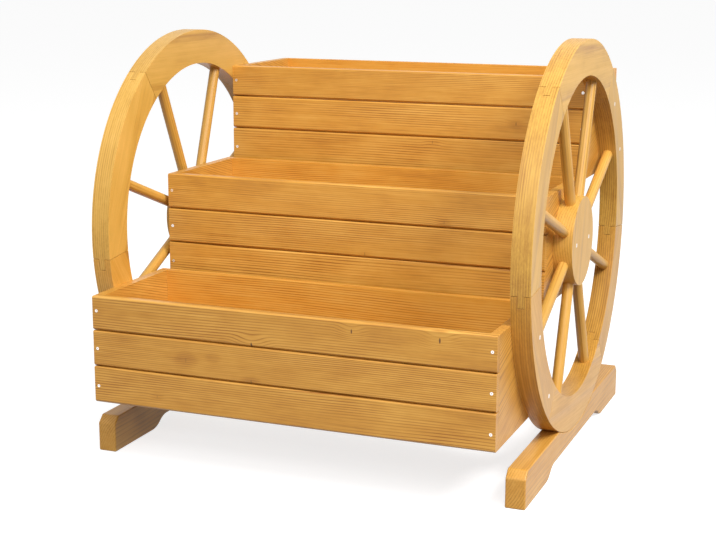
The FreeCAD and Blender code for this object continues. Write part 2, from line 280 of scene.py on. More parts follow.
@dataclass(frozen=True)
class StainedWood:
    """A clear honey stain on softwood, with its rings, fibres, clouds and knots."""

    slot: str
    pale: Colour = (0.730, 0.395, 0.082)
    honey: Colour = (0.575, 0.272, 0.041)
    dark: Colour = (0.290, 0.098, 0.012)
    knot: Colour = (0.070, 0.022, 0.006)
    ring_pitch: float = 2.9 * MM
    ring_gain: float = 0.60
    fibre_gain: float = 0.88
    streak_gain: float = 0.22
    cloud_gain: float = 0.70
    waviness: float = 9.0 * MM
    roughness: float = 0.38
    relief: float = 0.16 * MM
    # The band of painted shade through a piece's thickness: the depth of its middle, its half width and its
    # fade. Faces beyond it keep a pale line along each arris, a painted highlight.
    shade_middle_depth: float = 12.0 * MM
    shade_half_width: float = 11.2 * MM
    shade_fade: float = 1.5 * MM
    quick_share: float = 0.10
    uneven_share: float = 0.9
    knot_push: float = 1.6
    even_ring: float = 0.35
    faintest_rings: float = 0.15
    boldest_rings: float = 1.5
    honey_place: float = 0.45
    ring_gloss: float = 0.06
    fibre_dullness: float = 0.12
    ring_relief: float = 0.35
    bump_strength: float = 0.55

    def rings(self, pad: NodePad, place: Socket, grain: Grain) -> Socket:
        """The growth rings where the piece's faces cut them.

        Args:
            pad: The material's node pad.
            place: Coordinates in the grain's own space.
            grain: How the grain lies.

        Returns:
            0 in the pale early wood and 1 in the dark late wood.
        """
        slid = pad.vector("ADD", place, (grain.shift, grain.shift * 0.37, 0.0)).outputs[0]
        slow = pad.noise(slid, SLOW_DRIFT, 1.0)
        quick = pad.noise(slid, QUICK_DRIFT, 1.0)
        uneven = pad.noise(slid, UNEVEN_YEARS, 1.0)
        heart = (0.0, grain.lean * grain.sawing.value, -grain.sawing.value)
        offset = pad.vector("SUBTRACT", place, heart).outputs[0]
        flat = pad.vector("MULTIPLY", offset, (0.0, 1.0, 1.0)).outputs[0]
        radius = pad.vector("LENGTH", flat).outputs["Value"]
        radius = pad.math("MULTIPLY_ADD", slow, self.waviness * grain.wave, radius)
        radius = pad.math("MULTIPLY_ADD", quick, self.waviness * self.quick_share * grain.flutter, radius)
        unevenness = self.ring_pitch * self.uneven_share * grain.flutter
        radius = pad.math("MULTIPLY_ADD", uneven, unevenness, radius)
        for spot in grain.knots:
            swell = self.nearness(pad, place, spot, *KNOT_SWELL)
            radius = pad.math("MULTIPLY_ADD", swell, spot.radius * self.knot_push * spot.darkness, radius)
        phase = pad.math("FRACT", pad.math("DIVIDE", radius, self.ring_pitch * grain.pitch))
        return pad.ramp(phase, [(stop, (shade,) * 3) for stop, shade in RING_SHADES])

    def nearness(
        self, pad: NodePad, place: Socket, spot: Knot, outer: float, inner: float, squeeze: float
    ) -> Socket:
        """How near a point is to a knot.

        Args:
            pad: The material's node pad.
            place: Coordinates in the grain's own space.
            spot: The knot.
            outer: How many knot radii away it fades out.
            inner: How many knot radii away it is at its full strength.
            squeeze: How strongly the distance counts along the grain.

        Returns:
            1 at the knot, 0 from the outer distance onwards.
        """
        offset = pad.vector("SUBTRACT", place, (spot.along, spot.across, 0.0)).outputs[0]
        flat = pad.vector("MULTIPLY", offset, (squeeze, 1.0, 0.0)).outputs[0]
        distance = pad.vector("LENGTH", flat).outputs["Value"]
        node = pad.add(
            "ShaderNodeMapRange",
            {"interpolation_type": "SMOOTHERSTEP"},
            {0: distance, 1: spot.radius * outer, 2: spot.radius * inner, 3: 0.0, 4: 1.0},
        )
        return node.outputs[0]

    def material(self, name: str, grain: Grain) -> bpy.types.Material:
        """Make the finish of one piece, with its grain laid as that piece was cut.

        Args:
            name: The piece's name.
            grain: How the grain lies.

        Returns:
            The material.
        """
        pad = NodePad(bpy.data.materials.new(name + "_stain"))
        turn = grain.turn()
        slide = turn @ Vector(grain.middle)
        coordinates = pad.add("ShaderNodeTexCoord")
        mapping = pad.add(
            "ShaderNodeMapping",
            {"vector_type": "POINT"},
            {0: coordinates.outputs["Object"], 1: tuple(-slide), 2: tuple(turn.to_euler())},
        )
        board = mapping.outputs[0]
        place = pad.vector("ADD", board, (grain.shift, 0.0, 0.0)).outputs[0]
        rings = self.rings(pad, board, grain)
        fibre = pad.noise(place, FIBRES, 3.0, 0.65)
        streak = pad.noise(place, STREAKS, 2.0, 0.6)
        cloud = pad.noise(place, CLOUDS, 3.0, 0.6)
        fading = pad.noise(place, FADING, 1.0)
        faintest, boldest = self.ring_gain * self.faintest_rings, self.ring_gain * self.boldest_rings
        strength = pad.add(
            "ShaderNodeMapRange", inputs={0: fading, 1: 0.35, 2: 0.65, 3: faintest, 4: boldest}
        ).outputs[0]

        darkness = pad.math("MULTIPLY", pad.math("SUBTRACT", rings, self.even_ring), strength)
        patterns = [(fibre, self.fibre_gain), (streak, self.streak_gain), (cloud, self.cloud_gain)]
        if grain.layers:
            patterns.append((pad.noise(place, LAYERS, 2.0, 0.6), grain.layers))
        for pattern, gain in patterns:
            darkness = pad.math("MULTIPLY_ADD", pattern, gain, darkness)
        middle = sum(gain for _, gain in patterns) * 0.5
        darkness = pad.math("ADD", darkness, self.honey_place - middle)
        # Painted shade: darken the middle of the piece's thickness, so the rim's tread and inner face go
        # darker and a pale line stays along each arris.
        if grain.core:
            depth = pad.add("ShaderNodeSeparateXYZ", inputs={0: board}).outputs[2]
            depth = pad.math("ABSOLUTE", pad.math("ADD", depth, self.shade_middle_depth))
            shade_end = self.shade_half_width + self.shade_fade
            tread_shade_band = pad.add(
                "ShaderNodeMapRange", inputs={0: depth, 1: shade_end, 2: self.shade_half_width, 3: 0.0, 4: grain.core}
            )
            darkness = pad.math("ADD", darkness, tread_shade_band.outputs[0])
        for spot in grain.knots:
            halo = self.nearness(pad, board, spot, *KNOT_HALO)
            darkness = pad.math("MULTIPLY_ADD", halo, spot.halo, darkness)
        stains = (self.pale, self.honey, self.dark)
        tints = [tuple(channel * grain.tone for channel in stain) for stain in stains]
        colour = pad.ramp(darkness, list(zip((0.0, self.honey_place, 1.0), tints)))
        for spot in grain.knots:
            shade = self.nearness(pad, board, spot, *KNOT_CORE)
            colour = pad.mix(pad.math("MULTIPLY", shade, spot.darkness), colour, self.knot)
        rough = pad.math("MULTIPLY_ADD", rings, -self.ring_gloss, self.roughness)
        rough = pad.math("MULTIPLY_ADD", fibre, self.fibre_dullness, rough)
        height = pad.math("MULTIPLY_ADD", rings, -self.ring_relief, fibre)
        bump = pad.add(
            "ShaderNodeBump",
            inputs={"Strength": self.bump_strength, "Distance": self.relief, "Height": height},
        )
        shader = pad.add(
            "ShaderNodeBsdfPrincipled",
            inputs={"Base Color": colour, "Roughness": rough, "Normal": bump.outputs[0], "IOR": 1.5},
        )
        pad.add("ShaderNodeOutputMaterial", inputs={0: shader.outputs[0]})
        return pad.owner


@dataclass(frozen=True)
class TurnedWood(StainedWood):
    """The paler, yellower stain of the wheels and feet."""

    pale: Colour = (0.740, 0.430, 0.105)
    honey: Colour = (0.600, 0.315, 0.052)
    dark: Colour = (0.330, 0.135, 0.018)
    ring_pitch: float = 3.2 * MM
    ring_gain: float = 0.42
    fibre_gain: float = 0.60
    streak_gain: float = 0.40
    cloud_gain: float = 0.55
    waviness: float = 6.0 * MM


@dataclass(frozen=True)
class ZincSteel:
    """The bright plating of the screws."""

    colour: Colour = (0.93, 0.92, 0.90)
    roughness: float = 0.30
    turned_shade: float = 0.86

    def material(self, name: str) -> bpy.types.Material:
        """Make the plating, with fine turning marks.

        Args:
            name: The material's name.

        Returns:
            The material.
        """
        pad = NodePad(bpy.data.materials.new(name))
        coordinates = pad.add("ShaderNodeTexCoord")
        marks = pad.noise(coordinates.outputs["Object"], TURNING_MARKS, 2.0)
        turned = tuple(channel * self.turned_shade for channel in self.colour)
        colour = pad.ramp(marks, [(0.3, turned), (0.7, self.colour)])
        rough = pad.math("MULTIPLY_ADD", marks, 0.15, self.roughness)
        shader = pad.add(
            "ShaderNodeBsdfPrincipled",
            inputs={"Base Color": colour, "Roughness": rough, "Metallic": 1.0},
        )
        pad.add("ShaderNodeOutputMaterial", inputs={0: shader.outputs[0]})
        return pad.owner


class Bench:
    """Turns finished bmeshes into dressed pieces that ride with the stand."""

    def __init__(self) -> None:
        """Start with no pieces."""
        self.count = 0

    def place(self, bm: BMesh, name: str, node: str, slot: str, material: bpy.types.Material) -> None:
        """Make a piece of a bmesh, which stands for a CAD node or for part of one.

        Args:
            bm: The piece's mesh, which is freed.
            name: The piece's name.
            node: The CAD node.
            slot: The record's material slot; not used.
            material: Its finish.
        """
        bmesh.ops.recalc_face_normals(bm, faces=bm.faces)
        mesh = bpy.data.meshes.new(name)
        bm.to_mesh(mesh)
        bm.free()
        mesh.shade_smooth()
        mesh.set_sharp_from_angle(angle=SHADED_TURN)
        mesh.materials.append(material)
        piece = bpy.data.objects.new(name, mesh)
        bpy.context.scene.collection.objects.link(piece)
        finish = piece.modifiers.new("even_normals", "WEIGHTED_NORMAL")
        finish.keep_sharp = True
        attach(piece, ROOT)
        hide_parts(node)
        self.count += 1
        LOG.info("piece %s: %d faces, stands for %s", name, len(mesh.polygons), node)

    def dress(self, bm: BMesh, name: str, node: str, stain: StainedWood, grain: Grain) -> None:
        """Place a wooden piece with a stain of its own.

        Args:
            bm: The piece's mesh.
            name: The piece's name.
            node: The CAD node that it stands for.
            stain: Its finish.
            grain: How its grain lies.
        """
        self.place(bm, name, node, stain.slot, stain.material(name, grain))


def sharp_edges(bm: BMesh) -> list[bmesh.types.BMEdge]:
    """The edges of a bmesh where two faces meet sharply and outwards.

    Args:
        bm: The mesh, whose faces point outwards.

    Returns:
        The edges found.
    """
    bm.normal_update()
    joined = [edge for edge in bm.edges if len(edge.link_faces) == 2]
    return [edge for edge in joined if edge.calc_face_angle_signed(0.0) > SHARP_TURN]


def ease(bm: BMesh, edges: list[bmesh.types.BMEdge], width: float, segments: int = 2) -> None:
    """Round edges over.

    Args:
        bm: The mesh.
        edges: The edges to round.
        width: How far the rounding reaches from each edge.
        segments: Steps across the rounding.
    """
    bmesh.ops.bevel(
        bm,
        geom=edges,
        offset=width,
        offset_type="OFFSET",
        affect="EDGES",
        segments=segments,
        profile=0.5,
        material=-1,
        clamp_overlap=True,
    )


def block(low: Vector, high: Vector) -> BMesh:
    """A rectangular block between two corners.

    Args:
        low: Its lowest corner.
        high: Its highest corner.

    Returns:
        A new bmesh.
    """
    bm = bmesh.new()
    bmesh.ops.create_cube(bm, size=1.0)
    bmesh.ops.scale(bm, vec=high - low, verts=bm.verts)
    bmesh.ops.translate(bm, vec=(low + high) / 2, verts=bm.verts)
    return bm


class OutlinePen:
    """Draws a closed outline in a plane of constant X with straight runs and arcs."""

    def __init__(self, x: float, y: float, z: float) -> None:
        """Start the outline at a point.

        Args:
            x: The plane's place.
            y: The first point's Y.
            z: The first point's Z.
        """
        self.bm = bmesh.new()
        self.x = x
        self.last = self.bm.verts.new((x, y, z))

    def line(self, y: float, z: float) -> None:
        """Draw a straight run to a point.

        Args:
            y: The point's Y.
            z: The point's Z.
        """
        grown = bmesh.ops.extrude_vert_indiv(self.bm, verts=[self.last])["verts"]
        grown[0].co = Vector((self.x, y, z))
        self.last = grown[0]

    def arc(self, y: float, z: float, angle: float, steps: int) -> None:
        """Draw an arc about a centre.

        Args:
            y: The centre's Y.
            z: The centre's Z.
            angle: The turn about +X, in radians.
            steps: How many chords to draw.
        """
        result = bmesh.ops.spin(
            self.bm, geom=[self.last], cent=(self.x, y, z), axis=(1, 0, 0), angle=angle, steps=steps
        )
        self.last = next(item for item in result["geom_last"] if isinstance(item, bmesh.types.BMVert))

    def fill(self, thickness: float) -> BMesh:
        """Close the outline and give it its thickness.

        Args:
            thickness: How far it reaches along +X.

        Returns:
            The finished bmesh.
        """
        bmesh.ops.remove_doubles(self.bm, verts=self.bm.verts, dist=SAME_POINT)
        ends = [v for v in self.bm.verts if len(v.link_edges) == 1]
        if len(ends) == 2:
            self.bm.edges.new(ends)
        face = bmesh.ops.contextual_create(self.bm, geom=self.bm.edges)["faces"]
        grown = bmesh.ops.extrude_face_region(self.bm, geom=face)["geom"]
        moved = [item for item in grown if isinstance(item, bmesh.types.BMVert)]
        bmesh.ops.translate(self.bm, vec=(thickness, 0, 0), verts=moved)
        return self.bm


@dataclass
class PlanterBox:
    """One slatted box: wall boards, end panels, floor slats and cleats."""

    name: str
    bench: Bench
    seed: float
    knots: dict[str, tuple[Knot, ...]] = field(default_factory=dict)
    front_stain: StainedWood = StainedWood("front_boards")
    # A brighter, more orange copy of the stain for the back boards, whose inner faces show: painted bounce
    # light inside the boxes.
    back_stain: StainedWood = StainedWood(
        "back_boards", honey=(0.685, 0.308, 0.037), dark=(0.380, 0.120, 0.011)
    )
    side_stain: StainedWood = StainedWood("side_panels")
    floor_stain: StainedWood = StainedWood("floor_boards")
    lower_chamfer: float = 2.5 * MM
    upper_chamfer: float = 1.5 * MM
    edge_round: float = 0.4 * MM
    face_setback: float = 0.15 * MM
    seam_ease: float = 0.28 * MM
    slat_width: float = 52.0 * MM
    cleat_width: float = 20.0 * MM

    def board(
        self, name: str, node: str, low: Vector, high: Vector, outward: float, stain: StainedWood, order: int
    ) -> None:
        """Make a wall board that lies along X.

        Args:
            name: The piece's name.
            node: The CAD node that it stands for.
            low: Its lowest corner.
            high: Its highest corner.
            outward: -1 for a front wall and 1 for a back wall.
            stain: Its finish.
            order: Its number in the box, which varies its grain.
        """
        low, high = low.copy(), high.copy()
        low.z += self.seam_ease * (order % 3 < 2)
        high.z -= self.seam_ease * (order % 3 > 0)
        if outward > 0:
            high.y = outer_y = high.y - self.face_setback
        else:
            low.y = outer_y = low.y + self.face_setback
        bm = block(low, high)
        for level, width in ((low.z, self.lower_chamfer), (high.z, self.upper_chamfer)):
            spot = Vector((0.0, outer_y, level))
            arris = {vert for vert in bm.verts if ((vert.co - spot) * Vector((0, 1, 1))).length < SAME_POINT}
            ease(bm, [edge for edge in bm.edges if arris.issuperset(edge.verts)], width, 1)
        ease(bm, sharp_edges(bm), self.edge_round)
        middle = (low + high) / 2
        turn = order + round(self.seed)
        grain = Grain(
            middle=(middle.x, outer_y, middle.z),
            along=(1, 0.004 * math.sin(order * 2.1), 0.006 * math.sin(order * 1.3 + self.seed)),
            face=(0, outward, 0),
            sawing=(Sawing.RIFT, Sawing.FLAT)[order % 2],
            lean=(-1) ** turn * (2.2 + 0.6 * math.sin(order * 1.9 + self.seed)),
            shift=self.seed + order * 1.37,
            tone=1.0 + 0.02 * math.sin(order * 2.7 + self.seed * 3.0),
            wave=BOARD_WAVES[turn % len(BOARD_WAVES)],
            pitch=BOARD_PITCHES[turn % len(BOARD_PITCHES)],
            knots=self.knots.get(name.rsplit("_", 1)[-1], ()) if outward < 0 else (),
        )
        self.bench.dress(bm, name, node, stain, grain)

    def front_wall(self) -> None:
        """Make the three front boards."""
        for order, level in enumerate(("top", "middle", "bottom")):
            node = f"{self.name}_front_board_{level}"
            low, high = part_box(node)
            self.board(f"{self.name}_front_{level}", node, low, high, -1, self.front_stain, order)

    def back_wall(self) -> None:
        """Make the three back boards, which follow the levels of the front ones."""
        node = f"{self.name}_back_boards"
        back_low, back_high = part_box(node)
        for order, level in enumerate(("top", "middle", "bottom")):
            low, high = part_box(f"{self.name}_front_board_{level}")
            low = Vector((back_low.x, back_low.y, low.z))
            high = Vector((back_high.x, back_high.y, high.z))
            self.board(f"{self.name}_back_{level}", node, low, high, 1, self.back_stain, order + 3)

    def side_panels(self) -> None:
        """Make the two end panels, each of one board."""
        for side, sign in (("left", -1), ("right", 1)):
            node = f"{self.name}_side_panel_{side}"
            low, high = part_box(node)
            bm = block(low, high)
            ease(bm, sharp_edges(bm), self.edge_round)
            grain = Grain(
                middle=tuple((low + high) / 2),
                along=(0, 1, 0.28 * sign),
                face=(sign, 0, 0),
                sawing=Sawing.FLAT,
                lean=0.5,
                shift=self.seed * 1.7 + sign,
            )
            self.bench.dress(bm, f"{self.name}_end_{side}", node, self.side_stain, grain)

    def floor(self) -> None:
        """Make the floor slats and the cleats that carry them."""
        node = f"{self.name}_floor_slats"
        low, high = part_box(node)
        step = (high.y - low.y - self.slat_width) / 2
        for order in range(3):
            start = Vector((low.x, low.y + order * step, low.z))
            end = Vector((high.x, start.y + self.slat_width, high.z))
            bm = block(start, end)
            ease(bm, sharp_edges(bm), self.edge_round)
            grain = Grain(
                middle=tuple((start + end) / 2),
                along=(1, 0, 0),
                face=(0, 0, 1),
                sawing=Sawing.FLAT,
                lean=0.3,
                shift=self.seed + order * 2.3,
                tone=0.95,
            )
            self.bench.dress(bm, f"{self.name}_slat_{order + 1}", node, self.floor_stain, grain)
        node = f"{self.name}_cleats"
        low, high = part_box(node)
        for side, x_low in (("left", low.x), ("right", high.x - self.cleat_width)):
            x_high = x_low + self.cleat_width
            bm = block(Vector((x_low, low.y, low.z)), Vector((x_high, high.y, high.z)))
            ease(bm, sharp_edges(bm), self.edge_round)
            grain = Grain(
                middle=((x_low + x_high) / 2, 0, low.z),
                along=(0, 1, 0),
                face=(0, 0, -1),
                lean=0.3,
                shift=self.seed * 2.0,
                tone=0.95,
            )
            self.bench.dress(bm, f"{self.name}_cleat_{side}", node, self.floor_stain, grain)

    def build(self) -> None:
        """Make every wooden piece of the box."""
        self.front_wall()
        self.back_wall()
        self.side_panels()
        self.floor()


@dataclass(frozen=True)
class Felloe:
    """One curved piece of a rim; the angles run from the rim's top towards the front."""

    name: str
    start: float
    end: float
    start_tongue: bool
    end_tongue: bool


FELLOES = (
    Felloe("top", -36.0, 36.0, True, True),
    Felloe("upper_front", 36.0, 96.0, False, True),
    Felloe("lower_front", 96.0, 144.0, False, False),
    Felloe("bottom", 144.0, 216.0, True, True),
    Felloe("lower_back", -144.0, -96.0, False, False),
    Felloe("upper_back", -96.0, -36.0, True, False),
)
# The felloes that take the copy of the rim stain with painted shade.
LOW_FELLOES = ("lower_front", "bottom", "lower_back")


@dataclass
class WagonWheel:
    """One wheel: six felloes, eight spokes, a hub and the foot that it stands on."""

    side: str
    bench: Bench
    # How much painted shade darkens the rim's tread and inner face.
    painted_tread_shade: float = 0.0
    # Lit and shaded copies of one rim stain. The upper felloes' copy is paler and yellower, as painted light.
    # The low felloes' copy is darker and more orange, as painted shade.
    lit_rim_stain: StainedWood = TurnedWood("felloes", honey=(0.605, 0.340, 0.062))
    shaded_low_rim_stain: StainedWood = TurnedWood("felloes", honey=(0.590, 0.300, 0.047))
    spoke_stain: StainedWood = TurnedWood("spokes")
    hub_stain: StainedWood = TurnedWood("hubs", honey=(0.615, 0.335, 0.057), ring_gain=0.26)
    foot_stain: StainedWood = TurnedWood("feet", honey=(0.610, 0.295, 0.046))
    inner_x: float = 274.0 * MM
    outer_x: float = 300.0 * MM
    face_setback: float = 0.15 * MM
    centre: Point = (0.0, 4.5 * MM, 294.0 * MM)
    hub_drop: float = 5.5 * MM
    outer_radius: float = 262.5 * MM
    inner_radius: float = 214.5 * MM
    tongue_thickness: float = 8.6 * MM
    tongue_length: float = 15.0 * MM
    joint_gap: float = 0.5 * MM
    edge_round: float = 0.4 * MM
    bottom_edge_round: float = 0.3 * MM
    grain_depth: float = 12.0 * MM
    chord_turn: float = 2.0
    spoke_count: int = 8
    first_spoke: float = 25.0
    spoke_radius: float = 7.25 * MM
    spoke_seat: float = 12.0 * MM
    spoke_sides: int = 36
    hub_radius: float = 60.0 * MM
    hub_sides: int = 96
    foot_length: float = 525.0 * MM
    foot_height: float = 49.0 * MM
    foot_chamfer: float = 10.0 * MM
    pad_length: float = 102.0 * MM
    arch_height: float = 14.0 * MM
    arch_run: float = 42.0 * MM
    seat_clearance: float = 0.2 * MM
    foot_round: float = 1.8 * MM
    foot_grain_height: float = 25.0 * MM
    arch_steps: int = 6
    seat_steps: int = 18

    def __post_init__(self) -> None:
        """Work out which way the wheel faces and where its faces lie."""
        self.sign = -1 if self.side == "left" else 1
        face = self.sign * (self.outer_x - self.face_setback)
        self.x_low, self.x_high = sorted((self.sign * self.inner_x, face))
        self.middle_x = self.sign * (self.inner_x + self.outer_x) / 2
        self.grain_x = self.middle_x + self.sign * self.grain_depth
        self.node = f"{self.side}_wheel"

    def direction(self, degrees: float) -> Vector:
        """The direction at an angle from the rim's top towards the front."""
        angle = math.radians(degrees)
        return Vector((0.0, -math.sin(angle), math.cos(angle)))

    def cap(self, bm: BMesh, degrees: float, middle_column: bool) -> list[bmesh.types.BMFace]:
        """The faces of a felloe's end.

        Args:
            bm: The felloe's mesh.
            degrees: The angle at which the end lies.
            middle_column: True for the middle face, False for the two beside it.

        Returns:
            The faces found.
        """
        hub = Vector(self.centre)
        tangent = self.direction(degrees + 90.0)
        radial = self.direction(degrees)
        found = []
        for face in bm.faces:
            offsets = [vert.co - hub for vert in face.verts]
            on_cut = all(abs(offset.dot(tangent)) < ON_CUT and offset.dot(radial) > 0 for offset in offsets)
            in_middle = abs(face.calc_center_median().x - self.middle_x) < self.tongue_thickness / 2
            if on_cut and in_middle == middle_column:
                found.append(face)
        return found

    def sweep(
        self, bm: BMesh, faces: list[bmesh.types.BMFace], degrees: float, steps: int, grows: bool = False
    ) -> None:
        """Sweep faces about the wheel's axis.

        Args:
            bm: The mesh.
            faces: The faces to sweep.
            degrees: How far, from the top towards the front.
            steps: How many steps to take.
            grows: True where the faces are part of a closed body, which they then leave.
        """
        bmesh.ops.spin(
            bm, geom=faces, cent=self.centre, axis=(1, 0, 0), angle=math.radians(degrees), steps=steps
        )
        if grows:
            inside = [face for face in faces if face.is_valid]
            bmesh.ops.delete(bm, geom=inside, context="FACES_ONLY")

    def felloe(self, form: Felloe) -> None:
        """Make one felloe, with a tongue or a slot at each end.

        Args:
            form: Where it lies and how its ends are cut.
        """
        tongue = math.degrees(self.tongue_length / self.outer_radius)
        gap = math.degrees(self.joint_gap / self.outer_radius)
        seam_start = form.start + gap / 2
        seam_end = form.end - gap / 2
        body_start = seam_start if form.start_tongue else form.start + tongue + gap
        body_end = seam_end if form.end_tongue else form.end - tongue - gap

        bm = bmesh.new()
        half_tongue = self.tongue_thickness / 2
        columns = (self.x_low, self.middle_x - half_tongue, self.middle_x + half_tongue, self.x_high)
        out = self.direction(body_start)
        inner, outer = (
            [bm.verts.new(Vector((x, *self.centre[1:])) + out * radius) for x in columns]
            for radius in (self.inner_radius, self.outer_radius)
        )
        section = [bm.faces.new((inner[i], inner[i + 1], outer[i + 1], outer[i])) for i in range(3)]
        span = body_end - body_start
        self.sweep(bm, section, span, round(span / self.chord_turn))
        bm.normal_update()
        start_reach = (seam_start if not form.start_tongue else form.start - tongue) - body_start
        self.sweep(bm, self.cap(bm, body_start, form.start_tongue), start_reach, 2, grows=True)
        end_reach = (seam_end if not form.end_tongue else form.end + tongue) - body_end
        self.sweep(bm, self.cap(bm, body_end, form.end_tongue), end_reach, 2, grows=True)
        bmesh.ops.remove_doubles(bm, verts=bm.verts, dist=SAME_POINT)
        bmesh.ops.recalc_face_normals(bm, faces=bm.faces)
        ease(bm, sharp_edges(bm), self.bottom_edge_round if form.name == "bottom" else self.edge_round)

        middle_angle = (form.start + form.end) / 2
        middle_radius = (self.inner_radius + self.outer_radius) / 2
        spot = Vector(self.centre) + self.direction(middle_angle) * middle_radius
        along = self.direction(middle_angle + 90.0 + 6.0 * math.sin(middle_angle))
        grain = Grain(
            middle=(self.grain_x, spot.y, spot.z),
            along=tuple(along),
            face=(self.sign, 0, 0),
            sawing=Sawing.SLAB,
            lean=0.04 * math.sin(middle_angle + self.sign),
            shift=middle_angle * 0.031 + self.sign,
            tone=1.0 + 0.05 * math.sin(middle_angle * 0.7 + self.sign),
            wave=0.5,
            flutter=0.25,
            layers=0.5,
            core=self.painted_tread_shade,
        )
        # The low felloes take the painted-shade copy and the others take the painted-light copy.
        stain = self.shaded_low_rim_stain if form.name in LOW_FELLOES else self.lit_rim_stain
        name, node = f"{self.node}_{form.name}_felloe", f"{self.node}_felloe_{form.name}"
        self.bench.dress(bm, name, node, stain, grain)

    def spoke(self, number: int) -> None:
        """Make one spoke, a round dowel from the hub into the rim.

        Args:
            number: Its number, counted from the back upwards.
        """
        angle = math.radians(self.first_spoke + 360.0 / self.spoke_count * (number - 1))
        direction = Vector((0.0, math.cos(angle), math.sin(angle)))
        along = self.hub_drop * direction.z
        reach = along + math.sqrt(along ** 2 + self.inner_radius ** 2 - self.hub_drop ** 2)
        start = self.hub_radius - self.spoke_seat
        end = reach + self.spoke_seat
        hub = Vector((self.middle_x, self.centre[1], self.centre[2] - self.hub_drop))
        middle = hub + direction * (start + end) / 2
        turn = direction.to_track_quat("Z", "X").to_matrix().to_4x4()
        bm = bmesh.new()
        bmesh.ops.create_cone(
            bm,
            cap_ends=True,
            segments=self.spoke_sides,
            radius1=self.spoke_radius,
            radius2=self.spoke_radius,
            depth=end - start,
            matrix=Matrix.Translation(middle) @ turn,
        )
        grain = Grain(
            middle=tuple(middle),
            along=tuple(direction),
            face=(self.sign, 0, 0),
            sawing=Sawing.HEART,
            lean=0.8,
            shift=number * 0.9 + self.sign,
            tone=1.0 + 0.06 * math.sin(number * 2.2),
        )
        name, node = f"{self.node}_spoke_dowel_{number}", f"{self.node}_spoke_{number}"
        self.bench.dress(bm, name, node, self.spoke_stain, grain)

    def hub(self) -> None:
        """Make the hub disc."""
        centre = Vector(((self.x_low + self.x_high) / 2, self.centre[1], self.centre[2] - self.hub_drop))
        bm = bmesh.new()
        bmesh.ops.create_cone(
            bm,
            cap_ends=True,
            segments=self.hub_sides,
            radius1=self.hub_radius,
            radius2=self.hub_radius,
            depth=self.x_high - self.x_low,
            matrix=Matrix.Translation(centre) @ Matrix.Rotation(math.radians(90), 4, "Y"),
        )
        ease(bm, sharp_edges(bm), self.edge_round)
        grain = Grain(
            middle=(self.grain_x, centre.y, centre.z),
            along=(0, 0.25, 1),
            face=(self.sign, 0, 0),
            lean=0.15,
            shift=3.1 * self.sign,
            wave=0.5,
            flutter=0.25,
            layers=0.3,
        )
        self.bench.dress(bm, f"{self.node}_hub_disc", f"{self.node}_hub", self.hub_stain, grain)

    def foot(self) -> None:
        """Make the foot: two pads, the arch between them and the rim's seat."""
        _, wheel_y, wheel_z = self.centre
        front = wheel_y - self.foot_length / 2
        back = wheel_y + self.foot_length / 2
        shoulder = self.foot_height - self.foot_chamfer
        half_run, half_rise = self.arch_run / 2, self.arch_height / 2
        bend = (half_run ** 2 + half_rise ** 2) / (2 * half_rise)
        turn = math.asin(half_run / bend)
        seat_radius = self.outer_radius + self.seat_clearance
        seat_turn = math.acos((wheel_z - self.foot_height) / seat_radius)
        seat_half = seat_radius * math.sin(seat_turn)
        front_arch = front + self.pad_length + self.arch_run
        back_arch = back - self.pad_length - self.arch_run

        pen = OutlinePen(min(self.sign * self.inner_x, self.sign * self.outer_x), front, 0.0)
        pen.line(front + self.pad_length, 0.0)
        pen.arc(front + self.pad_length, bend, turn, self.arch_steps)
        pen.arc(front_arch, self.arch_height - bend, -turn, self.arch_steps)
        pen.line(back_arch, self.arch_height)
        pen.arc(back_arch, self.arch_height - bend, -turn, self.arch_steps)
        pen.arc(back - self.pad_length, bend, turn, self.arch_steps)
        pen.line(back, 0.0)
        pen.line(back, shoulder)
        pen.line(back - self.foot_chamfer, self.foot_height)
        pen.line(wheel_y + seat_half, self.foot_height)
        pen.arc(wheel_y, wheel_z, -2 * seat_turn, self.seat_steps)
        pen.line(front + self.foot_chamfer, self.foot_height)
        pen.line(front, shoulder)
        bm = pen.fill(self.outer_x - self.inner_x)
        bmesh.ops.recalc_face_normals(bm, faces=bm.faces)
        ease(bm, sharp_edges(bm), self.foot_round, 3)
        grain = Grain(
            middle=(self.grain_x, 0.0, self.foot_grain_height),
            along=(0, 1, 0.01),
            face=(self.sign, 0, 0),
            lean=0.5,
            shift=5.3 * self.sign,
            tone=0.97,
        )
        self.bench.dress(bm, f"{self.node}_foot_beam", f"{self.node}_foot", self.foot_stain, grain)

    def build(self) -> None:
        """Make every wooden piece of the wheel."""
        for form in FELLOES:
            self.felloe(form)
        for number in range(1, self.spoke_count + 1):
            self.spoke(number)
        self.hub()
        self.foot()


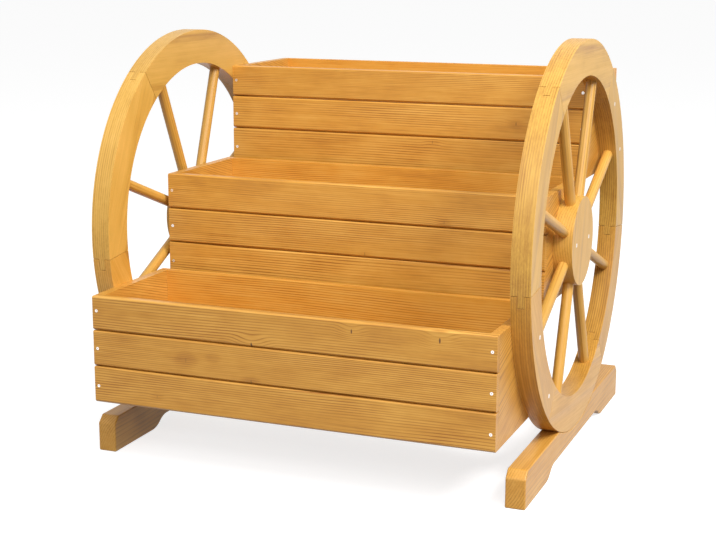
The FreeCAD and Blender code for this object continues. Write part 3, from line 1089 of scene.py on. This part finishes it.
@dataclass
class ScrewSet:
    """Flush screw heads of one size, made as one piece of separate screws."""

    name: str
    node: str
    bench: Bench
    material: bpy.types.Material
    head_radius: float
    seats: list[tuple[Point, Point]]
    slot: str = "screws"
    head_depth: float = 1.5 * MM
    recess_depth: float = 0.35 * MM
    neck_share: float = 0.5
    rim_share: float = 0.62
    recess_slope: float = 0.1
    sides: int = 24

    def head(self, bm: BMesh, point: Point, outward: Point) -> None:
        """Add one countersunk head with its shallow round recess.

        Args:
            bm: The mesh that it joins.
            point: The middle of the head's face.
            outward: The way that the face looks.
        """
        turn = Vector(outward).to_track_quat("Z", "Y").to_matrix().to_4x4()
        place = Matrix.Translation(point) @ turn
        radius = self.head_radius
        made = bmesh.ops.create_cone(
            bm,
            cap_ends=True,
            segments=self.sides,
            radius1=radius * self.neck_share,
            radius2=radius,
            depth=self.head_depth,
            matrix=place @ Matrix.Translation((0, 0, -self.head_depth / 2)),
        )
        faces = {face for vert in made["verts"] for face in vert.link_faces}
        top = max(faces, key=lambda face: face.normal.dot(Vector(outward)) * face.calc_area())
        for share, depth in ((self.rim_share, 0.0), (self.recess_slope, -self.recess_depth)):
            bmesh.ops.inset_region(bm, faces=[top], thickness=radius * share, depth=depth)

    def build(self) -> None:
        """Make the whole set."""
        bm = bmesh.new()
        for point, outward in self.seats:
            self.head(bm, point, outward)
        self.bench.place(bm, self.name, self.node, self.slot, self.material)


def board_screw_seats() -> list[tuple[Point, Point]]:
    """Find the screws in the front and back walls.

    Returns:
        The face point and outward direction of each screw.
    """
    seats = []
    for box, drop in WALL_SCREW_DROPS.items():
        low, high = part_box(f"{box}_front_board_top")
        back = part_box(f"{box}_back_boards")[1].y
        for side in (-1, 1):
            for step in (-1, 0, 1):
                x = side * (high.x - WALL_SCREW_INSET)
                z = high.z - drop - step * WALL_SCREW_STEP
                seats.append(((x, low.y, z), (0, -1, 0)))
                seats.append(((x, back, z), (0, 1, 0)))
    return seats


def wheel_screw_seats() -> list[tuple[Point, Point]]:
    """Find the screws through the wheels.

    Returns:
        The face point and outward direction of each screw.
    """
    _, wheel_y, wheel_z = WagonWheel.centre
    hub_z = wheel_z - WagonWheel.hub_drop
    spots = [(wheel_y + side * HUB_SCREW_REACH, hub_z) for side in (-1, 1)]
    for side, box, drop, inset in RIM_SCREWS:
        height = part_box(f"{box}_front_board_top")[1].z - drop
        reach = math.sqrt((WagonWheel.outer_radius - inset) ** 2 - (height - wheel_z) ** 2)
        spots.append((wheel_y + side * reach, height))
    return [((sign * WagonWheel.outer_x, y, z), (sign, 0, 0)) for sign in (-1, 1) for y, z in spots]


@dataclass(frozen=True)
class Lamp:
    """A square soft lamp: the way to it from the stand, its distance, side and power."""

    name: str
    direction: Point
    distance: float
    size: float
    watts: float


@dataclass(frozen=True)
class Studio:
    """The camera, the lamps, the pale floor and the white surround."""

    place: Point = (0.7346, -1.9024, 0.6642)
    yaw: float = 21.707
    pitch: float = 12.162
    roll: float = 0.141
    focal_pixels: float = 1467.57
    image_width: int = 716
    sensor: float = 36.0
    clip_end: float = 100.0
    aim: Point = (0.0, 0.0, 0.28)
    lamps: tuple[Lamp, ...] = (
        Lamp("key", (0.668, -0.297, 0.682), 2.6, 0.9, 60.0),
        Lamp("fill", (0.24, -0.73, 0.64), 3.5, 2.4, 81.0),
    )
    surround: float = 0.44
    floor_grey: Colour = (0.50, 0.50, 0.50)
    floor_glow: float = 0.74
    floor_unseen: Colour = (0.14, 0.11, 0.08)
    floor_reach: float = 30.0

    def camera(self) -> None:
        """Set the camera at the photograph's viewing angle."""
        yaw, pitch, roll = (math.radians(value) for value in (self.yaw, self.pitch, self.roll))
        ahead = Vector((-math.sin(yaw) * math.cos(pitch), math.cos(yaw) * math.cos(pitch), -math.sin(pitch)))
        right = Vector((math.cos(yaw), math.sin(yaw), 0.0))
        up = right.cross(ahead)
        tilted_right = right * math.cos(roll) + up * math.sin(roll)
        tilted_up = up * math.cos(roll) - right * math.sin(roll)
        data = bpy.data.cameras.new("view")
        data.sensor_width = self.sensor
        data.lens = self.focal_pixels * self.sensor / self.image_width
        data.clip_end = self.clip_end
        turn = Matrix((tilted_right, tilted_up, -ahead)).transposed().to_4x4()
        camera = bpy.data.objects.new("view", data)
        camera.matrix_world = Matrix.Translation(self.place) @ turn
        bpy.context.scene.collection.objects.link(camera)
        bpy.context.scene.camera = camera

    def hang(self, lamp: Lamp) -> None:
        """Hang a lamp so that it looks at the stand.

        Args:
            lamp: The lamp.
        """
        data = bpy.data.lights.new(lamp.name, "AREA")
        data.shape = "SQUARE"
        data.size = lamp.size
        data.energy = lamp.watts
        away = Vector(lamp.direction).normalized()
        turn = away.to_track_quat("Z", "Y").to_matrix().to_4x4()
        hung = bpy.data.objects.new(lamp.name, data)
        hung.matrix_world = Matrix.Translation(Vector(self.aim) + away * lamp.distance) @ turn
        bpy.context.scene.collection.objects.link(hung)

    def world(self) -> None:
        """Light the stand evenly from all sides, and show white behind it."""
        world = bpy.data.worlds.new("surround")
        bpy.context.scene.world = world
        pad = NodePad(world)
        light, white = (
            pad.add("ShaderNodeBackground", inputs={0: WHITE, 1: strength}).outputs[0]
            for strength in (self.surround, 1.0)
        )
        mix = pad.add("ShaderNodeMixShader", inputs={0: pad.shown(), 1: light, 2: white})
        pad.add("ShaderNodeOutputWorld", inputs={0: mix.outputs[0]})

    def floor(self) -> None:
        """Lay a pale floor that keeps the stand's shadow."""
        pad = NodePad(bpy.data.materials.new("pale_floor"))
        grey, unseen = (
            pad.add("ShaderNodeBsdfDiffuse", inputs={0: (*colour, 1.0)}).outputs[0]
            for colour in (self.floor_grey, self.floor_unseen)
        )
        glow = pad.add("ShaderNodeEmission", inputs={0: WHITE, 1: self.floor_glow})
        pale = pad.add("ShaderNodeAddShader", inputs={0: grey, 1: glow.outputs[0]})
        mix = pad.add("ShaderNodeMixShader", inputs={0: pad.shown(), 1: unseen, 2: pale.outputs[0]})
        pad.add("ShaderNodeOutputMaterial", inputs={0: mix.outputs[0]})
        bm = bmesh.new()
        bmesh.ops.create_grid(bm, x_segments=1, y_segments=1, size=self.floor_reach)
        mesh = bpy.data.meshes.new("floor")
        bm.to_mesh(mesh)
        bm.free()
        mesh.materials.append(pad.owner)
        floor = bpy.data.objects.new("floor", mesh)
        bpy.context.scene.collection.objects.link(floor)

    def build(self) -> None:
        """Set up the whole studio."""
        bpy.context.scene.view_settings.view_transform = "Standard"
        self.camera()
        self.world()
        self.floor()
        for lamp in self.lamps:
            self.hang(lamp)


def main() -> None:
    """Build the studio, the boxes, the wheels and the screws in order."""
    Studio().build()
    bench = Bench()
    lower_knots = {
        "top": (
            Knot(90 * MM, 10.1 * MM),
            Knot(203 * MM, 9.1 * MM, 4.2 * MM),
            Knot(-45 * MM, -20.5 * MM, 4.6 * MM),
        ),
        "middle": (
            Knot(-138 * MM, -2 * MM, 4.4 * MM, 0.2, 0.22),
            Knot(-99 * MM, 5 * MM, 3.0 * MM, 0.0, 0.20),
            Knot(-46 * MM, -21 * MM, 3.6 * MM, 0.5, 0.2),
        ),
        "bottom": (Knot(-181 * MM, -7.4 * MM, 2.4 * MM, 0.3, 0.15),),
    }
    middle_knots = {
        "top": (
            Knot(-225 * MM, 12.5 * MM, 3.6 * MM, 0.0, 0.10),
            Knot(137 * MM, -16.4 * MM, 2.8 * MM, 0.3, 0.2),
        ),
        "middle": (Knot(25 * MM, -19 * MM, 2.6 * MM, 0.5, 0.1),),
    }
    upper_knots = {
        "middle": (Knot(173 * MM, 0.8 * MM, 3.4 * MM, 0.5, 0.15),),
        "bottom": (Knot(48 * MM, 18 * MM, 2.8 * MM, 0.4, 0.1),),
    }
    PlanterBox("lower_box", bench, 1.3, lower_knots).build()
    # A brighter copy of the front stain for the middle and upper boxes: painted light that lifts their fronts
    # out of the shade they lie in.
    lit_front_stain = StainedWood("front_boards", honey=(0.605, 0.280, 0.037))
    PlanterBox("middle_box", bench, 4.9, middle_knots, lit_front_stain).build()
    PlanterBox("upper_box", bench, 8.2, upper_knots, lit_front_stain).build()
    # Only the right wheel's rims get painted shade on their treads and inner faces.
    for side, painted_tread_shade in (("left", 0.0), ("right", 0.17)):
        WagonWheel(side, bench, painted_tread_shade).build()
    zinc = ZincSteel().material("zinc_plating")
    ScrewSet("board_screw_heads", "board_screws", bench, zinc, 2.0 * MM, board_screw_seats()).build()
    ScrewSet("wheel_screw_heads", "wheel_screws", bench, zinc, 2.9 * MM, wheel_screw_seats()).build()
    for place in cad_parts["foot_screws"].material_slots:
        place.material = zinc
    LOG.info("%d pieces made", bench.count)


if __name__ == "__main__":
    logging.basicConfig(level=logging.INFO)
    main()
